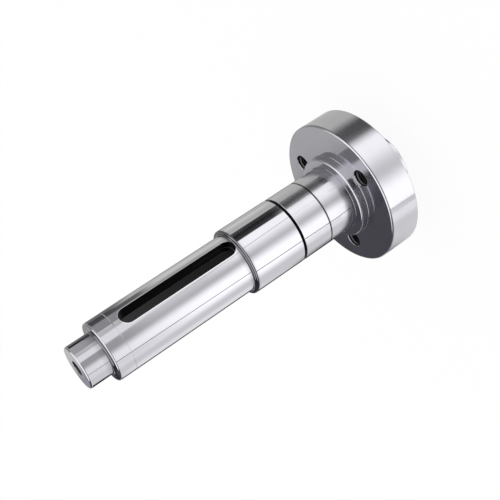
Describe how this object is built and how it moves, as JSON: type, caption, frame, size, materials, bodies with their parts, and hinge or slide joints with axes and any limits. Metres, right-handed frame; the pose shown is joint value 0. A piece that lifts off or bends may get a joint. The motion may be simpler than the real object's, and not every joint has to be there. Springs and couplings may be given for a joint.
{
  "type": "flange shaft",
  "caption": "Stepped steel shaft turned from one piece, with a drilled flange, a collar, bearing seats, a retaining ring groove, a round-ended keyway and a tapped tip.",
  "frame": {"origin": "centre of the flat end of the rear spigot, which the shaft stands on", "axes": "+Z along the shaft axis, from the spigot to the tip; the keyway opens towards -Y; one flange hole lies on +X"},
  "size_m": [0.088, 0.088, 0.2165],
  "materials": {
    "steel": "finely turned and ground, bright"
  },
  "bodies": {
    "root": {"flange_shaft": "steel"}
  },
  "joints": []
}
